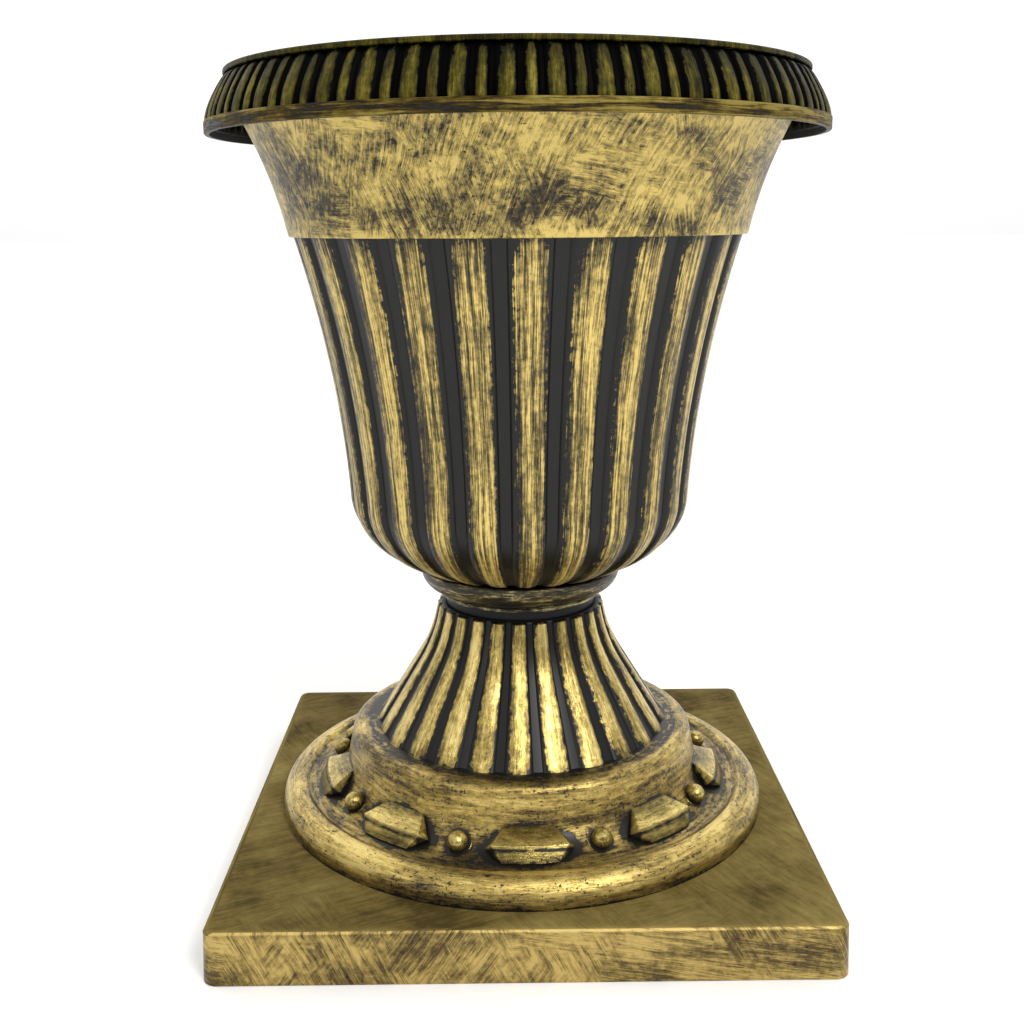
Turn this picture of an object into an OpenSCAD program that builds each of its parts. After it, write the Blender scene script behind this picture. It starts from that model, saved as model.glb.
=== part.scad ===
// Two-piece garden urn planter: a fluted bowl clamped to a fluted pedestal by a bolt and wing nut.
// Origin: centre of the plinth's underside. Z points up. Millimetres.

/* [Plinth] */
// Side of the square plinth along its top edge
plinth_side = 292; // [286:1:330]
// How far the plinth's sides lean out from the top edge to the ground
plinth_draft = 1; // [0:0.5:4]
// Height of the plinth
plinth_h = 26; // [18:1:36]
// Radius of the plinth's upright corners
plinth_corner_r = 6; // [3:0.5:15]
// Bevel along the plinth's top edge
plinth_bevel = 1.5; // [0.5:0.5:4]

/* [Pedestal] */
// Wall of the pedestal moulding
pedestal_wall = 3; // [2:0.5:4]
// Outer radius of the round ring that stands on the plinth
ring_r = 130.8; // [128:0.2:138]
// Radius of the ring's rounded top
ring_round = 10; // [7:0.5:11]
// Height of the ring's crest above the plinth
ring_h = 14.2; // [12:0.2:18]
// Angle past the crest at which the ring's rounding ends towards the cove
ring_turn_in = 10; // [5:1:20]
// Depth of the dip between the ring's crest and the bottom of the cove
ring_dip = 2.4; // [0.5:0.1:3]
// Distance from the ring's crest in to the bottom of the cove
ring_cove_gap = 4.5; // [3.5:0.1:5]
// Radius at the top of the cove that carries the leaves
cove_r = 94.5; // [92:0.5:96]
// Height of the cove's upper edge above the plinth
cove_h = 28; // [24:1:32]
// Outer radius of the round shoulder under the flutes
shoulder_r = 92.5; // [89:0.5:94]
// Radius of the shoulder's rounding
shoulder_round = 5.8; // [4:0.2:7]
// Height of the flutes' lower end above the plinth
neck_foot_h = 43.5; // [41:0.5:50]
// Height of the pedestal's top ledge above the plinth
ledge_h = 110.3; // [100:0.5:130]
// Radius of the ledge, over the ribs
ledge_r = 44.3; // [43.5:0.1:50]
// Lean of the neck from upright at the ledge
neck_lean_top = 9; // [5:1:15]
// Lean of the neck from upright over its lower, straight stretch
neck_lean_low = 31.8; // [26:0.2:34]
// Radius of the curve between the two leans
neck_curve_r = 80; // [60:5:95]
// Height of the neck's ribs above the channels
neck_rib_h = 2; // [1:0.2:2.6]
// Share of the pitch that a neck rib takes
neck_rib_share = 0.58; // [0.3:0.02:0.8]
// Thickness of the web that closes the neck
web_t = 3.5; // [2.5:0.5:5]
// Depth of the socket from the ledge down to the web
socket_depth = 6.3; // [4:0.1:12]
// Radius of the socket that the bowl's spigot drops into
socket_r = 40; // [36:0.5:40]
// Radius of the web's hub round the bolt
web_hub_r = 13; // [12:0.5:14]
// Outer radius of the drain windows between the web's spokes
window_r = 36; // [30:0.5:37]
// Angle that one spoke of the web takes
spoke_angle = 24; // [16:1:40]

/* [Leaves and berries] */
// Number of leaves on the cove, with a berry between each two
leaf_count = 9; // [8:1:11]
// Turn of the leaves about the axis
leaf_turn = 1.5; // [0:0.5:40]
// Length of a leaf round the cove
leaf_len = 44; // [30:1:48]
// Width of a leaf across the slope
leaf_wide = 19.5; // [14:0.5:22]
// Length of a leaf's ridge as a share of the leaf
leaf_ridge_share = 0.84; // [0.5:0.02:0.85]
// Length between a leaf's blunt corners as a share of the leaf
leaf_corner_share = 0.6; // [0.4:0.02:0.8]
// How far a leaf's middle lies above the middle of the slope
leaf_rise = 1.6; // [0:0.2:2]
// How far the ridge and the points of a leaf lie below the leaf's middle
leaf_drop = 2.4; // [0:0.2:3]
// Height of a leaf's edge above the middle of the cove
leaf_edge_h = 3; // [2:0.2:5]
// Height of a leaf's ridge above its edge
leaf_ridge_h = 3.2; // [1:0.2:4]
// Diameter of a berry
berry_d = 10.5; // [8:0.5:14]
// Height of a berry's centre above the face of the cove
berry_lift = 1.6; // [0:0.2:3]

/* [Bowl] */
// Wall of the bowl moulding
bowl_wall = 3; // [2:0.5:4]
// Number of flutes round the bowl and the neck
flute_count = 25; // [16:1:30]
// Turn of the bowl's ribs about the axis
bowl_turn = 2.2; // [0:0.1:15]
// Turn of the neck's ribs about the axis
neck_turn = -1.7; // [-10:0.1:15]
// Height of the bowl's ribs above the channels
rib_h = 2.8; // [1.5:0.1:4]
// Share of the pitch that a bowl rib takes
rib_share = 0.6; // [0.3:0.02:0.8]
// Gap between the pedestal's ledge and the underside of the bowl's foot
foot_gap = 5; // [1:0.5:8]
// Radius of the bead at the bottom of the foot
foot_r = 42.6; // [41.5:0.1:46]
// Height of that bead
foot_bead_h = 2; // [1:0.5:3]
// Depth of the groove above the bead
foot_groove = 0.8; // [0.3:0.1:1.2]
// Height of the straight edge over the foot's quarter round
foot_edge_h = 1.5; // [0.5:0.5:2]
// Radius of the foot at its top
foot_top_r = 52.8; // [51:0.2:58]
// Height of the foot
foot_h = 15.2; // [13:0.2:22]
// Height of the fluted cup, from the foot to the step
cup_h = 171.4; // [150:0.5:220]
// Radius of the cup where its rounded bottom ends
cup_low_r = 88.7; // [84:0.5:96]
// Radius at which that rounded bottom starts, seen on the axis side
cup_round_in = 26.3; // [20:0.5:34]
// Height of the rounded bottom
cup_round_h = 44.5; // [42:0.5:50]
// Share of that height that stands above the foot
cup_round_share = 0.93; // [0.9:0.01:0.95]
// Radius of the cup at the step, over the ribs
cup_top_r = 112; // [104:0.5:118]
// Share of the cup's flare that is straight
cup_flare_share = 0.34; // [0.1:0.02:0.8]
// Overhang of the step over the ribs
step_over = 2.4; // [1:0.2:5]
// Height of the plain band, from the step to the turn of the lip
band_h = 65; // [55:1:90]
// Radius of the band's outside at the turn of the lip
band_top_r = 140; // [134:0.5:142]
// Share of the band's flare that is straight
band_flare_share = 0.5; // [0.1:0.02:0.8]

/* [Lip] */
// Outer radius of the plain edge at the lip's lower end
lip_r = 151.6; // [149:0.2:160]
// Height of that plain edge
lip_edge_h = 5.9; // [4:0.1:10]
// Height of the lip's gadrooned face
gadroon_face_h = 21; // [18:0.2:26]
// Share of the lip's face and edge that hangs below the top of the band
lip_drop_share = 0.65; // [0.6:0.01:0.72]
// How far the gadroons stand back from the edges over and under them
gadroon_back = 0.5; // [0.3:0.1:1]
// Power of the curve that the gadrooned face follows
face_power = 1.5; // [1.2:0.1:2]
// Height of the rim's top edge
rim_edge_h = 2.6; // [2:0.1:6]
// Outer radius of the rim's top edge
rim_r = 141.4; // [139:0.2:144]
// Width of the rim's top edge
rim_w = 4.4; // [3:0.2:7]
// Rounding of the rim's top edge
rim_round = 0.9; // [0.4:0.1:1.4]
// Wall of the turned-down lip
lip_wall = 2.5; // [1.5:0.1:3]
// Height of the gadroons above the lip's face
gadroon_h = 1.8; // [0.8:0.1:2.5]
// Number of gadroon pairs, each a wide and a narrow one
gadroon_pairs = 49; // [30:1:60]
// Turn of the gadroons about the axis
gadroon_turn = -2.3; // [-4:0.1:7]
// Share of the pair's pitch that the wide gadroon takes
wide_share = 0.4; // [0.2:0.02:0.5]
// Share of the pair's pitch that the narrow gadroon takes
narrow_share = 0.24; // [0.1:0.02:0.35]

/* [Fixing] */
// Thickness of the bowl's floor
floor_t = 3.5; // [2.5:0.5:5]
// Clearance round the spigot in the socket
spigot_play = 0.08; // [0.02:0.02:0.3]
// Diameter of the bolt over its thread
bolt_d = 8; // [6:0.5:10]
// Length of the bolt under its head
bolt_len = 45; // [38:1:60]
// Diameter of the bolt's head
bolt_head_d = 20; // [14:0.5:22]
// Height of the bolt's head
bolt_head_h = 6; // [4:0.5:9]
// Width of the slot in the bolt's head
slot_w = 2; // [1:0.2:3]
// Depth of that slot
slot_depth = 2.4; // [1:0.2:3.4]
// Clearance round the bolt in the floor and the web
bolt_play = 0.4; // [0.2:0.1:1]
// Clearance round the bolt in its nut and washers
thread_play = 0.05; // [0.02:0.01:0.1]
// Diameter of the sealing washer
seal_d = 24; // [22:0.5:28]
// Thickness of the sealing washer
seal_t = 2; // [1:0.5:3]
// Diameter of the flat washer under the web
washer_d = 22; // [16:0.5:28]
// Thickness of the flat washer
washer_t = 1.6; // [1:0.1:3]
// Diameter of the wing nut's hub
nut_d = 15; // [12:0.5:18]
// Height of the wing nut's hub
nut_h = 10; // [7:0.5:14]
// Span of the wing nut over its wings
wing_span = 40; // [30:1:50]
// Thickness of a wing
wing_t = 3; // [2:0.2:4]
// Height of a wing
wing_h = 12; // [11:0.5:15]
// Gap between the wings' top and the hub's top
wing_gap = 1; // [0.5:0.5:2]
// Size of the corners cut off a wing
wing_corner = 4; // [2:0.5:4]

/* [Drain plugs] */
// Radius of the circle that the drain holes lie on
plug_circle_r = 22; // [20.5:0.5:24]
// Diameter of a drain hole
drain_d = 10; // [7:0.5:11]
// Clearance round a plug in its hole
plug_play = 0.05; // [0.02:0.01:0.1]
// Diameter of a plug's flange
plug_flange_d = 15; // [12:0.5:16]
// Thickness of a plug's flange
plug_flange_t = 2.5; // [1.5:0.5:3]
// Length of a plug below the floor
plug_tail = 2.5; // [1:0.5:3]
// Height of a plug's finger tab
tab_h = 7; // [4:0.5:9]
// Width of a plug's finger tab
tab_w = 9; // [6:0.5:11]
// Thickness of a plug's finger tab
tab_t = 3; // [2:0.5:4]

/* [Hidden] */
$fn = 96;
gold = "#b59a45";
black = "#26282b";

// Number of drain holes and plugs, one node for each plug
plug_count = 3;
// How far a rib is sunk in the wall behind it
sink = 1;
// How far the neck's ribs end under the ledge
rib_end = 1;
// Overlap of a cut past the face that it opens
over = 1;
// Steps along a curved stretch of an outline
steps = 5;
// Thickness of the discs that the plinth is hulled from, and their facets
disc_h = 0.01;
disc_facets = 32;
// Angle on the cove's quarter ellipse at its middle
cove_middle = 45;

// Heights above the ground
ledge_z = plinth_h + ledge_h;
web_top_z = ledge_z - socket_depth;
web_z = web_top_z - web_t;
neck_foot_z = plinth_h + neck_foot_h;
cove_z = plinth_h + cove_h;
foot_z = ledge_z + foot_gap;
cup_z = foot_z + foot_h;
step_z = cup_z + cup_h;
band_top_z = step_z + band_h;
floor_z = web_top_z + floor_t;
lip_z = band_top_z - (gadroon_face_h + lip_edge_h) * lip_drop_share;
gadroon_z = lip_z + lip_edge_h;
rim_z = gadroon_z + gadroon_face_h;
top_z = rim_z + rim_edge_h;

// Height of a point as a share between two heights
function share(z, low, high) = (z - low) / (high - low);

// Heights in even steps between two heights
function levels(low, high, n = steps) = [for (i = [0:n]) low + (high - low) * i / n];

// An outline moved inwards or outwards along the radius
function shifted(line, by) = [for (p = line) [p[0] + by, p[1]]];

// The same points in the other order
function reversed(line) = [for (i = [len(line) - 1:-1:0]) line[i]];

// An outline with its last stretch carried straight on to another height
function carried(line, z) = let (n = len(line) - 1, run = line[n] - line[n - 1])
    concat([for (i = [0:n - 1]) line[i]], [line[n] + run * (z - line[n][1]) / run[1]]);

// The same outline with both its ends sunk in what stands below and above it
function sunk(line, low, high) = carried(reversed(carried(reversed(line), low)), high);

// Points on an arc about a centre
function arc(centre, r, from, to, n = steps) =
    [for (i = [0:n]) centre + r * [cos(from + (to - from) * i / n), sin(from + (to - from) * i / n)]];

// A slice of a solid of revolution, centred on an angle
module slice(angle, at) rotate(at - angle / 2) rotate_extrude(angle = angle) children();

// The neck: an arc that leans out more and more, then a straight cone
neck_arc_c = [ledge_r + neck_curve_r * cos(neck_lean_top), ledge_z + neck_curve_r * sin(neck_lean_top)];
neck_arc = [for (i = [0:steps])
    let (a = neck_lean_top + (neck_lean_low - neck_lean_top) * i / steps)
    neck_arc_c - neck_curve_r * [cos(a), sin(a)]];
neck_arc_end = neck_arc[steps];
neck_foot_r = neck_arc_end[0] + tan(neck_lean_low) * (neck_arc_end[1] - neck_foot_z);
neck_line = concat(neck_arc, [[neck_foot_r, neck_foot_z]]);

// The shoulder, the cove and the ring
shoulder_c = [shoulder_r - shoulder_round, neck_foot_z - shoulder_round];
shoulder_line = arc(shoulder_c, shoulder_round, 90, 0);
ring_c = [ring_r - ring_round, plinth_h + ring_h - ring_round];
ring_line = arc(ring_c, ring_round, 90 + ring_turn_in, 0);
cove_low = [ring_c[0] - ring_cove_gap, ring_line[0][1] - ring_dip];
function cove_at(a) = [cove_low[0] - (cove_low[0] - cove_r) * cos(a),
                       cove_z - (cove_z - cove_low[1]) * sin(a)];
cove_line = [for (a = levels(0, 90)) cove_at(a)];
base_line = concat(shoulder_line, cove_line, ring_line, [[ring_r, plinth_h - over]]);

// The cup: a quarter of an ellipse, then a flare that grows with height
cup_round_z = cup_z + cup_round_h * cup_round_share;
function cup_r(z) = z < cup_round_z
    ? cup_round_in + (cup_low_r - cup_round_in) * sqrt(1 - pow((cup_round_z - z) / cup_round_h, 2))
    : let (s = share(z, cup_round_z, step_z))
      cup_low_r + (cup_top_r - cup_low_r) * (cup_flare_share * s + (1 - cup_flare_share) * s * s);
cup_round_turn = levels(acos(cup_round_share), 90);
cup_flare_line = [for (i = [1:steps]) let (z = levels(cup_round_z, step_z)[i]) [cup_r(z), z]];
cup_line = concat([for (a = cup_round_turn) let (z = cup_round_z - cup_round_h * cos(a)) [cup_r(z), z]],
                  cup_flare_line);

// The plain band above the step
band_low_r = cup_top_r + step_over;
function band_r(z) = let (s = share(z, step_z, band_top_z))
    band_low_r + (band_top_r - band_low_r) * (band_flare_share * s + (1 - band_flare_share) * s * s);
band_line = [for (z = levels(step_z, band_top_z)) [band_r(z), z]];

// The lip's gadrooned face, over the gadroons
face_top_r = rim_r - gadroon_back;
face_low_r = lip_r - gadroon_back;
function face_r(z) = face_low_r - (face_low_r - face_top_r) * pow(share(z, gadroon_z, rim_z), face_power);
face_line = [for (z = levels(gadroon_z, rim_z)) [face_r(z), z]];

// The foot: a bead, a groove and a quarter round
foot_line = concat([[foot_r, foot_z], [foot_r, foot_z + foot_bead_h],
                    [foot_r - foot_groove, foot_z + foot_bead_h + foot_groove]],
                   arc([foot_r, cup_z - foot_edge_h], foot_top_r - foot_r, -90, 0));

rib_angle = 360 / flute_count * rib_share;
neck_rib_angle = 360 / flute_count * neck_rib_share;
pair_angle = 360 / gadroon_pairs;
spigot_r = socket_r - spigot_play;
bolt_hole_d = bolt_d + 2 * bolt_play;
head_z = floor_z + seal_t;

// Everything that a full turn of the bowl's outline encloses, without ribs
module bowl_shell() {
    outside = concat([[0, web_top_z], [spigot_r, web_top_z], [spigot_r, foot_z]], foot_line,
                     shifted(cup_line, -rib_h), band_line);
    well_r = spigot_r - bowl_wall;
    round_in_r = cup_low_r - cup_round_in - rib_h - bowl_wall;
    inner_round = [for (a = cup_round_turn) [cup_round_in + round_in_r * sin(a),
                                             cup_round_z - (cup_round_h - bowl_wall) * cos(a)]];
    inside = concat([[0, floor_z], [well_r, floor_z], [well_r, cup_z]], inner_round,
                    shifted(cup_flare_line, -rib_h - bowl_wall),
                    [[cup_top_r - rib_h - bowl_wall, step_z + bowl_wall]],
                    [for (p = shifted(band_line, -bowl_wall)) if (p[1] > step_z + bowl_wall) p]);
    lip_under = shifted([for (z = levels(gadroon_z, band_top_z)) [face_r(z), z]], -gadroon_h - lip_wall);
    lip_step_z = gadroon_z - lip_wall;
    lip = concat(reversed(lip_under), [[lip_under[0][0], lip_step_z], [lip_r - lip_wall, lip_step_z],
                 [lip_r - lip_wall, lip_z], [lip_r, lip_z], [lip_r, gadroon_z]],
                 shifted(face_line, -gadroon_h));
    rim = [[rim_r, rim_z], [rim_r, top_z - rim_round], [rim_r - rim_round, top_z],
           [rim_r - rim_w + rim_round, top_z], [rim_r - rim_w, top_z - rim_round]];
    rotate_extrude() polygon(concat(outside, lip, rim, reversed(inside)));
}

module bowl_ribs() {
    line = sunk(cup_line, cup_z - foot_edge_h, step_z + sink);
    for (i = [0:flute_count - 1])
        slice(rib_angle, bowl_turn - 90 + 360 / flute_count * i)
            polygon(concat(line, reversed(shifted(line, -rib_h - sink))));
}

module gadroons() {
    line = sunk(face_line, gadroon_z - sink, rim_z + sink);
    for (i = [0:gadroon_pairs - 1], wide = [true, false])
        slice(pair_angle * (wide ? wide_share : narrow_share),
              gadroon_turn - 90 + pair_angle * (i + (wide ? 0 : 0.5)))
            polygon(concat(line, reversed(shifted(line, -gadroon_h - sink))));
}

module drain_places() for (i = [0:plug_count - 1]) rotate(90 + 360 / plug_count * i)
    translate([plug_circle_r, 0, 0]) children();

module bowl() color(gold) difference() {
    union() {
        bowl_shell();
        bowl_ribs();
        gadroons();
    }
    translate([0, 0, web_top_z - over]) cylinder(d = bolt_hole_d, h = floor_t + 2 * over);
    drain_places() translate([0, 0, web_top_z - over]) cylinder(d = drain_d, h = floor_t + 2 * over);
}

// The plinth's outside: discs at its corners, joined at the ground, the bevel and the top
module plinth_block() hull()
    for (x = [-1, 1], y = [-1, 1], level = [[0, plinth_draft], [plinth_h - plinth_bevel, 0],
                                            [plinth_h, -plinth_bevel]])
        translate([x, y, 0] * (plinth_side / 2 - plinth_corner_r) + [0, 0, max(level[0] - disc_h, 0)])
            cylinder(r = plinth_corner_r + level[1], h = disc_h, $fn = disc_facets);

// One leaf: a ridged six-sided blade wrapped round the cove
leaf_c = (cove_line[0] + cove_line[steps]) / 2;
slope = cove_line[0] - cove_line[steps];
up_slope = slope / norm(slope);
out = [up_slope[1], -up_slope[0]];
cove_depth = (leaf_c - cove_at(cove_middle)) * out;
function on_cove(u, v, w) = let (p = leaf_c + v * up_slope + w * out, a = u / leaf_c[0] * 180 / PI)
    [p[0] * cos(a), p[0] * sin(a), p[1]];
module leaf() {
    tip = leaf_len / 2;
    ridge = tip * leaf_ridge_share;
    corner = tip * leaf_corner_share;
    side = leaf_wide / 2;
    low_v = leaf_rise - side;
    mid_v = leaf_rise - leaf_drop;
    high_v = leaf_rise + side;
    edge = [[-tip, mid_v], [-corner, low_v], [corner, low_v], [tip, mid_v], [corner, high_v], [-corner, high_v]];
    top = leaf_edge_h - cove_depth;
    low = -cove_depth - pedestal_wall;
    points = concat([for (e = edge) on_cove(e[0], e[1], low)], [for (e = edge) on_cove(e[0], e[1], top)],
                    [on_cove(-ridge, mid_v, top + leaf_ridge_h), on_cove(ridge, mid_v, top + leaf_ridge_h)]);
    under = [[0, 1, 5], [1, 4, 5], [1, 2, 4], [2, 3, 4]];
    sides = [for (i = [0:5]) let (j = (i + 1) % 6) each [[i, i + 6, j + 6], [i, j + 6, j]]];
    blade = [[6, 12, 7], [7, 12, 13], [7, 13, 8], [8, 13, 9], [9, 13, 10], [10, 13, 12], [10, 12, 11],
             [11, 12, 6]];
    polyhedron(points, concat(under, sides, blade));
}

module berry() {
    centre = cove_at(cove_middle) + berry_lift * out + leaf_rise * up_slope;
    translate([centre[0], 0, centre[1]]) sphere(d = berry_d);
}

module pedestal_shell() {
    outside = concat([[0, ledge_z], [ledge_r - neck_rib_h, ledge_z]],
                     [for (i = [1:len(neck_line) - 1]) neck_line[i] - [neck_rib_h, 0]], base_line,
                     [[0, plinth_h - over]]);
    rotate_extrude() polygon(outside);
}

module pedestal_hollow() {
    inner_neck = [for (p = neck_line) if (p[1] < web_z) p - [neck_rib_h + pedestal_wall, 0]];
    web_r = ledge_r - neck_rib_h - pedestal_wall;
    inner_neck_foot = [inner_neck[len(inner_neck) - 1][0], neck_foot_z - pedestal_wall];
    inner_shoulder = arc(shoulder_c, shoulder_round - pedestal_wall, 90, 0, 2);
    inner_cove = [for (p = cove_line) p - (pedestal_wall + sink) * out];
    inner_ring = arc(ring_c, ring_round - pedestal_wall, 90, 0, 3);
    inner_r = ring_r - pedestal_wall;
    rotate_extrude() polygon(concat([[0, web_z], [web_r, web_z]],
        [for (p = inner_neck) if (p[1] > neck_foot_z) p], [inner_neck_foot], inner_shoulder, inner_cove,
        inner_ring, [[inner_r, -over], [0, -over]]));
    inner = plinth_side - 2 * pedestal_wall;
    translate([-inner / 2, -inner / 2, -over]) cube([inner, inner, plinth_h - pedestal_wall + over]);
}

module neck_ribs() {
    line = sunk(reversed(neck_line), neck_foot_z - sink, ledge_z - rib_end);
    for (i = [0:flute_count - 1])
        slice(neck_rib_angle, neck_turn - 90 + 360 / flute_count * i)
            polygon(concat(line, reversed(shifted(line, -neck_rib_h - sink))));
}

module pedestal() color(gold) difference() {
    union() {
        pedestal_shell();
        neck_ribs();
        plinth_block();
        for (i = [0:leaf_count - 1]) rotate(leaf_turn - 90 + 360 / leaf_count * i) {
            leaf();
            rotate(180 / leaf_count) berry();
        }
    }
    pedestal_hollow();
    translate([0, 0, web_top_z]) cylinder(r = socket_r, h = socket_depth + over);
    translate([0, 0, web_z - over]) cylinder(d = bolt_hole_d, h = web_t + 2 * over);
    for (i = [0:plug_count - 1]) slice(360 / plug_count - spoke_angle, 90 + 360 / plug_count * i)
        translate([web_hub_r, web_z - over]) square([window_r - web_hub_r, web_t + 2 * over]);
}

module fixing_bolt() color(black) difference() {
    union() {
        translate([0, 0, head_z]) cylinder(d = bolt_head_d, h = bolt_head_h);
        translate([0, 0, head_z - bolt_len]) cylinder(d = bolt_d, h = bolt_len + over);
    }
    translate([-bolt_head_d, -slot_w / 2, head_z + bolt_head_h - slot_depth])
        cube([2 * bolt_head_d, slot_w, slot_depth + over]);
}

module ring_washer(d, t, z) translate([0, 0, z]) difference() {
    cylinder(d = d, h = t);
    translate([0, 0, -over]) cylinder(d = bolt_d + 2 * thread_play, h = t + 2 * over);
}

module sealing_washer() color("#1c1c1e") ring_washer(seal_d, seal_t, floor_z);

module flat_washer() color(black) ring_washer(washer_d, washer_t, web_z - washer_t);

module wing_nut() color(black) translate([0, 0, web_z - washer_t - nut_h]) difference() {
    root = nut_d / 2 - sink;
    tip = wing_span / 2;
    low = nut_h - wing_h;
    high = nut_h - wing_gap;
    union() {
        cylinder(d = nut_d, h = nut_h);
        for (side = [0, 180]) rotate(side) translate([0, wing_t / 2, 0]) rotate([90, 0, 0])
            linear_extrude(wing_t) polygon([[root, high], [root, wing_gap], [tip - wing_corner, low],
                [tip, low + wing_corner], [tip, high - wing_corner], [tip - wing_corner, high]]);
    }
    translate([0, 0, -over]) cylinder(d = bolt_d + 2 * thread_play, h = nut_h + 2 * over);
}

module drain_plug(i) color("#1c1c1e") rotate(90 + 360 / plug_count * i)
    translate([plug_circle_r, 0, floor_z]) {
        translate([0, 0, -floor_t - plug_tail])
            cylinder(d = drain_d - 2 * plug_play, h = floor_t + plug_tail + plug_flange_t / 2);
        cylinder(d = plug_flange_d, h = plug_flange_t);
        translate([-tab_t / 2, -tab_w / 2, plug_flange_t / 2])
            cube([tab_t, tab_w, tab_h + plug_flange_t / 2]);
    }
module drain_plug_1() drain_plug(0);
module drain_plug_2() drain_plug(1);
module drain_plug_3() drain_plug(2);

bowl();
pedestal();
fixing_bolt();
sealing_washer();
flat_washer();
wing_nut();
drain_plug_1();
drain_plug_2();
drain_plug_3();
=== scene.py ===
# A fluted garden urn on a fluted pedestal: two hollow mouldings of black plastic, brushed over by hand with
# gold paint and clamped together by a bolt. Metres, Z up, origin under the middle of the plinth.
from math import radians

import bmesh
import bpy
import numpy as np
from mathutils import Matrix, Vector


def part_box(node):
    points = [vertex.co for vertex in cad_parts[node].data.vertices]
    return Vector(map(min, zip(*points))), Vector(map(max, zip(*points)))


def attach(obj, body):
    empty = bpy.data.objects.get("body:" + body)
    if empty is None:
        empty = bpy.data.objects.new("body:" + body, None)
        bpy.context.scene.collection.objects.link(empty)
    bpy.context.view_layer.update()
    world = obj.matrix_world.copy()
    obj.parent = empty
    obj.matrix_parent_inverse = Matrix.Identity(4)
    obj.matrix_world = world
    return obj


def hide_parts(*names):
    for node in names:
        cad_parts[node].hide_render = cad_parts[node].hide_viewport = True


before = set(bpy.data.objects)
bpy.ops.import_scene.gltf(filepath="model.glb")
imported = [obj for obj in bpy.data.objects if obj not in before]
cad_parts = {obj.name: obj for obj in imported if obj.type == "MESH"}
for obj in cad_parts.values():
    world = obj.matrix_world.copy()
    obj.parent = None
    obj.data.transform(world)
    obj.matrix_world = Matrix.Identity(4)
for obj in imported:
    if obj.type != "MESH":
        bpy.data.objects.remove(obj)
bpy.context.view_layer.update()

# The photograph's view: from just left of the front, as high as the bowl's band, looking a little down.
# The camera stands close, so the plinth's front edge is much wider than its back edge.
camera_at = (-0.0082, -0.6447, 0.3364)
look_down, look_right, lean = radians(13.31), radians(0.36), radians(0.45)
focal_length, sensor_width = 43.77, 36

lens = bpy.data.cameras.new("photo_view")
lens.lens, lens.sensor_width = focal_length, sensor_width
camera = bpy.data.objects.new("photo_view", lens)
camera.matrix_world = (Matrix.Translation(camera_at) @ Matrix.Rotation(-look_right, 4, "Z")
                       @ Matrix.Rotation(radians(90) - look_down, 4, "X") @ Matrix.Rotation(-lean, 4, "Z"))
bpy.context.scene.collection.objects.link(camera)
bpy.context.scene.camera = camera
bpy.context.scene.view_settings.view_transform = "Standard"

# The studio: a white floor in a room that is bright behind the urn and overhead and dim in front of it, with
# a large soft box above and to the right of the front and a weaker one on the left. The room's light is a
# level one plus a part that grows with height and a part that grows towards the back. Metres and watts.
room_level, room_height, room_back, room_least = 0.4, 1.0, 0.64, 0.04
soft_boxes = [("key_box", (0.8, -1.5, 1.6), 0.7, 26), ("fill_box", (-1.3, -1.6, 1.0), 1.0, 7)]
boxes_aim = (0, 0, 0.2)
floor_side, floor_colour, floor_roughness = 40, "#f9f9f8", 0.9
white = (1, 1, 1, 1)


def linear(hex_colour):
    """An sRGB hex colour as linear red, green, blue and an alpha of one."""
    parts = np.array([int(hex_colour[i:i + 2], 16) for i in (1, 3, 5)]) / 255
    value = np.where(parts <= 0.04045, parts / 12.92, ((parts + 0.055) / 1.055) ** 2.4)
    return (*value, 1)


def node(tree, kind, inputs=(), **settings):
    """Adds a node to a tree. Settings are its own properties; inputs are values or other nodes' outputs."""
    made = tree.nodes.new("ShaderNode" + kind)
    for key, value in settings.items():
        setattr(made, key, value)
    for key, value in dict(inputs).items():
        if isinstance(value, bpy.types.NodeSocket):
            tree.links.new(value, made.inputs[key])
        else:
            made.inputs[key].default_value = value
    return made


world = bpy.data.worlds.new("white_room")
world.use_nodes = True
sky = world.node_tree
towards = node(sky, "SeparateXYZ", {0: node(sky, "TexCoord").outputs["Generated"]})
glow = node(sky, "Math", {0: towards.outputs["Z"], 1: room_height, 2: room_level}, operation="MULTIPLY_ADD")
glow = node(sky, "Math", {0: towards.outputs["Y"], 1: room_back, 2: glow.outputs[0]},
            operation="MULTIPLY_ADD")
glow = node(sky, "Math", {0: glow.outputs[0], 1: room_least}, operation="MAXIMUM")
sky.nodes["Background"].inputs["Color"].default_value = white
sky.links.new(glow.outputs[0], sky.nodes["Background"].inputs["Strength"])
bpy.context.scene.world = world

for name, place, side, power in soft_boxes:
    light = bpy.data.lights.new(name, "AREA")
    light.shape, light.size, light.energy = "SQUARE", side, power
    box = bpy.data.objects.new(name, light)
    aim = Vector(boxes_aim) - Vector(place)
    box.matrix_world = Matrix.Translation(place) @ aim.to_track_quat("-Z", "Y").to_matrix().to_4x4()
    bpy.context.scene.collection.objects.link(box)

paper = bpy.data.materials.new("matt_white_floor")
paper.use_nodes = True
paper.node_tree.nodes["Principled BSDF"].inputs["Base Color"].default_value = linear(floor_colour)
paper.node_tree.nodes["Principled BSDF"].inputs["Roughness"].default_value = floor_roughness
half = floor_side / 2
floor_mesh = bpy.data.meshes.new("floor")
floor_mesh.from_pydata([(-half, -half, 0), (half, -half, 0), (half, half, 0), (-half, half, 0)], [],
                       [(0, 1, 2, 3)])
floor_mesh.materials.append(paper)
floor = bpy.data.objects.new("floor", floor_mesh)
bpy.context.scene.collection.objects.link(floor)

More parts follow.
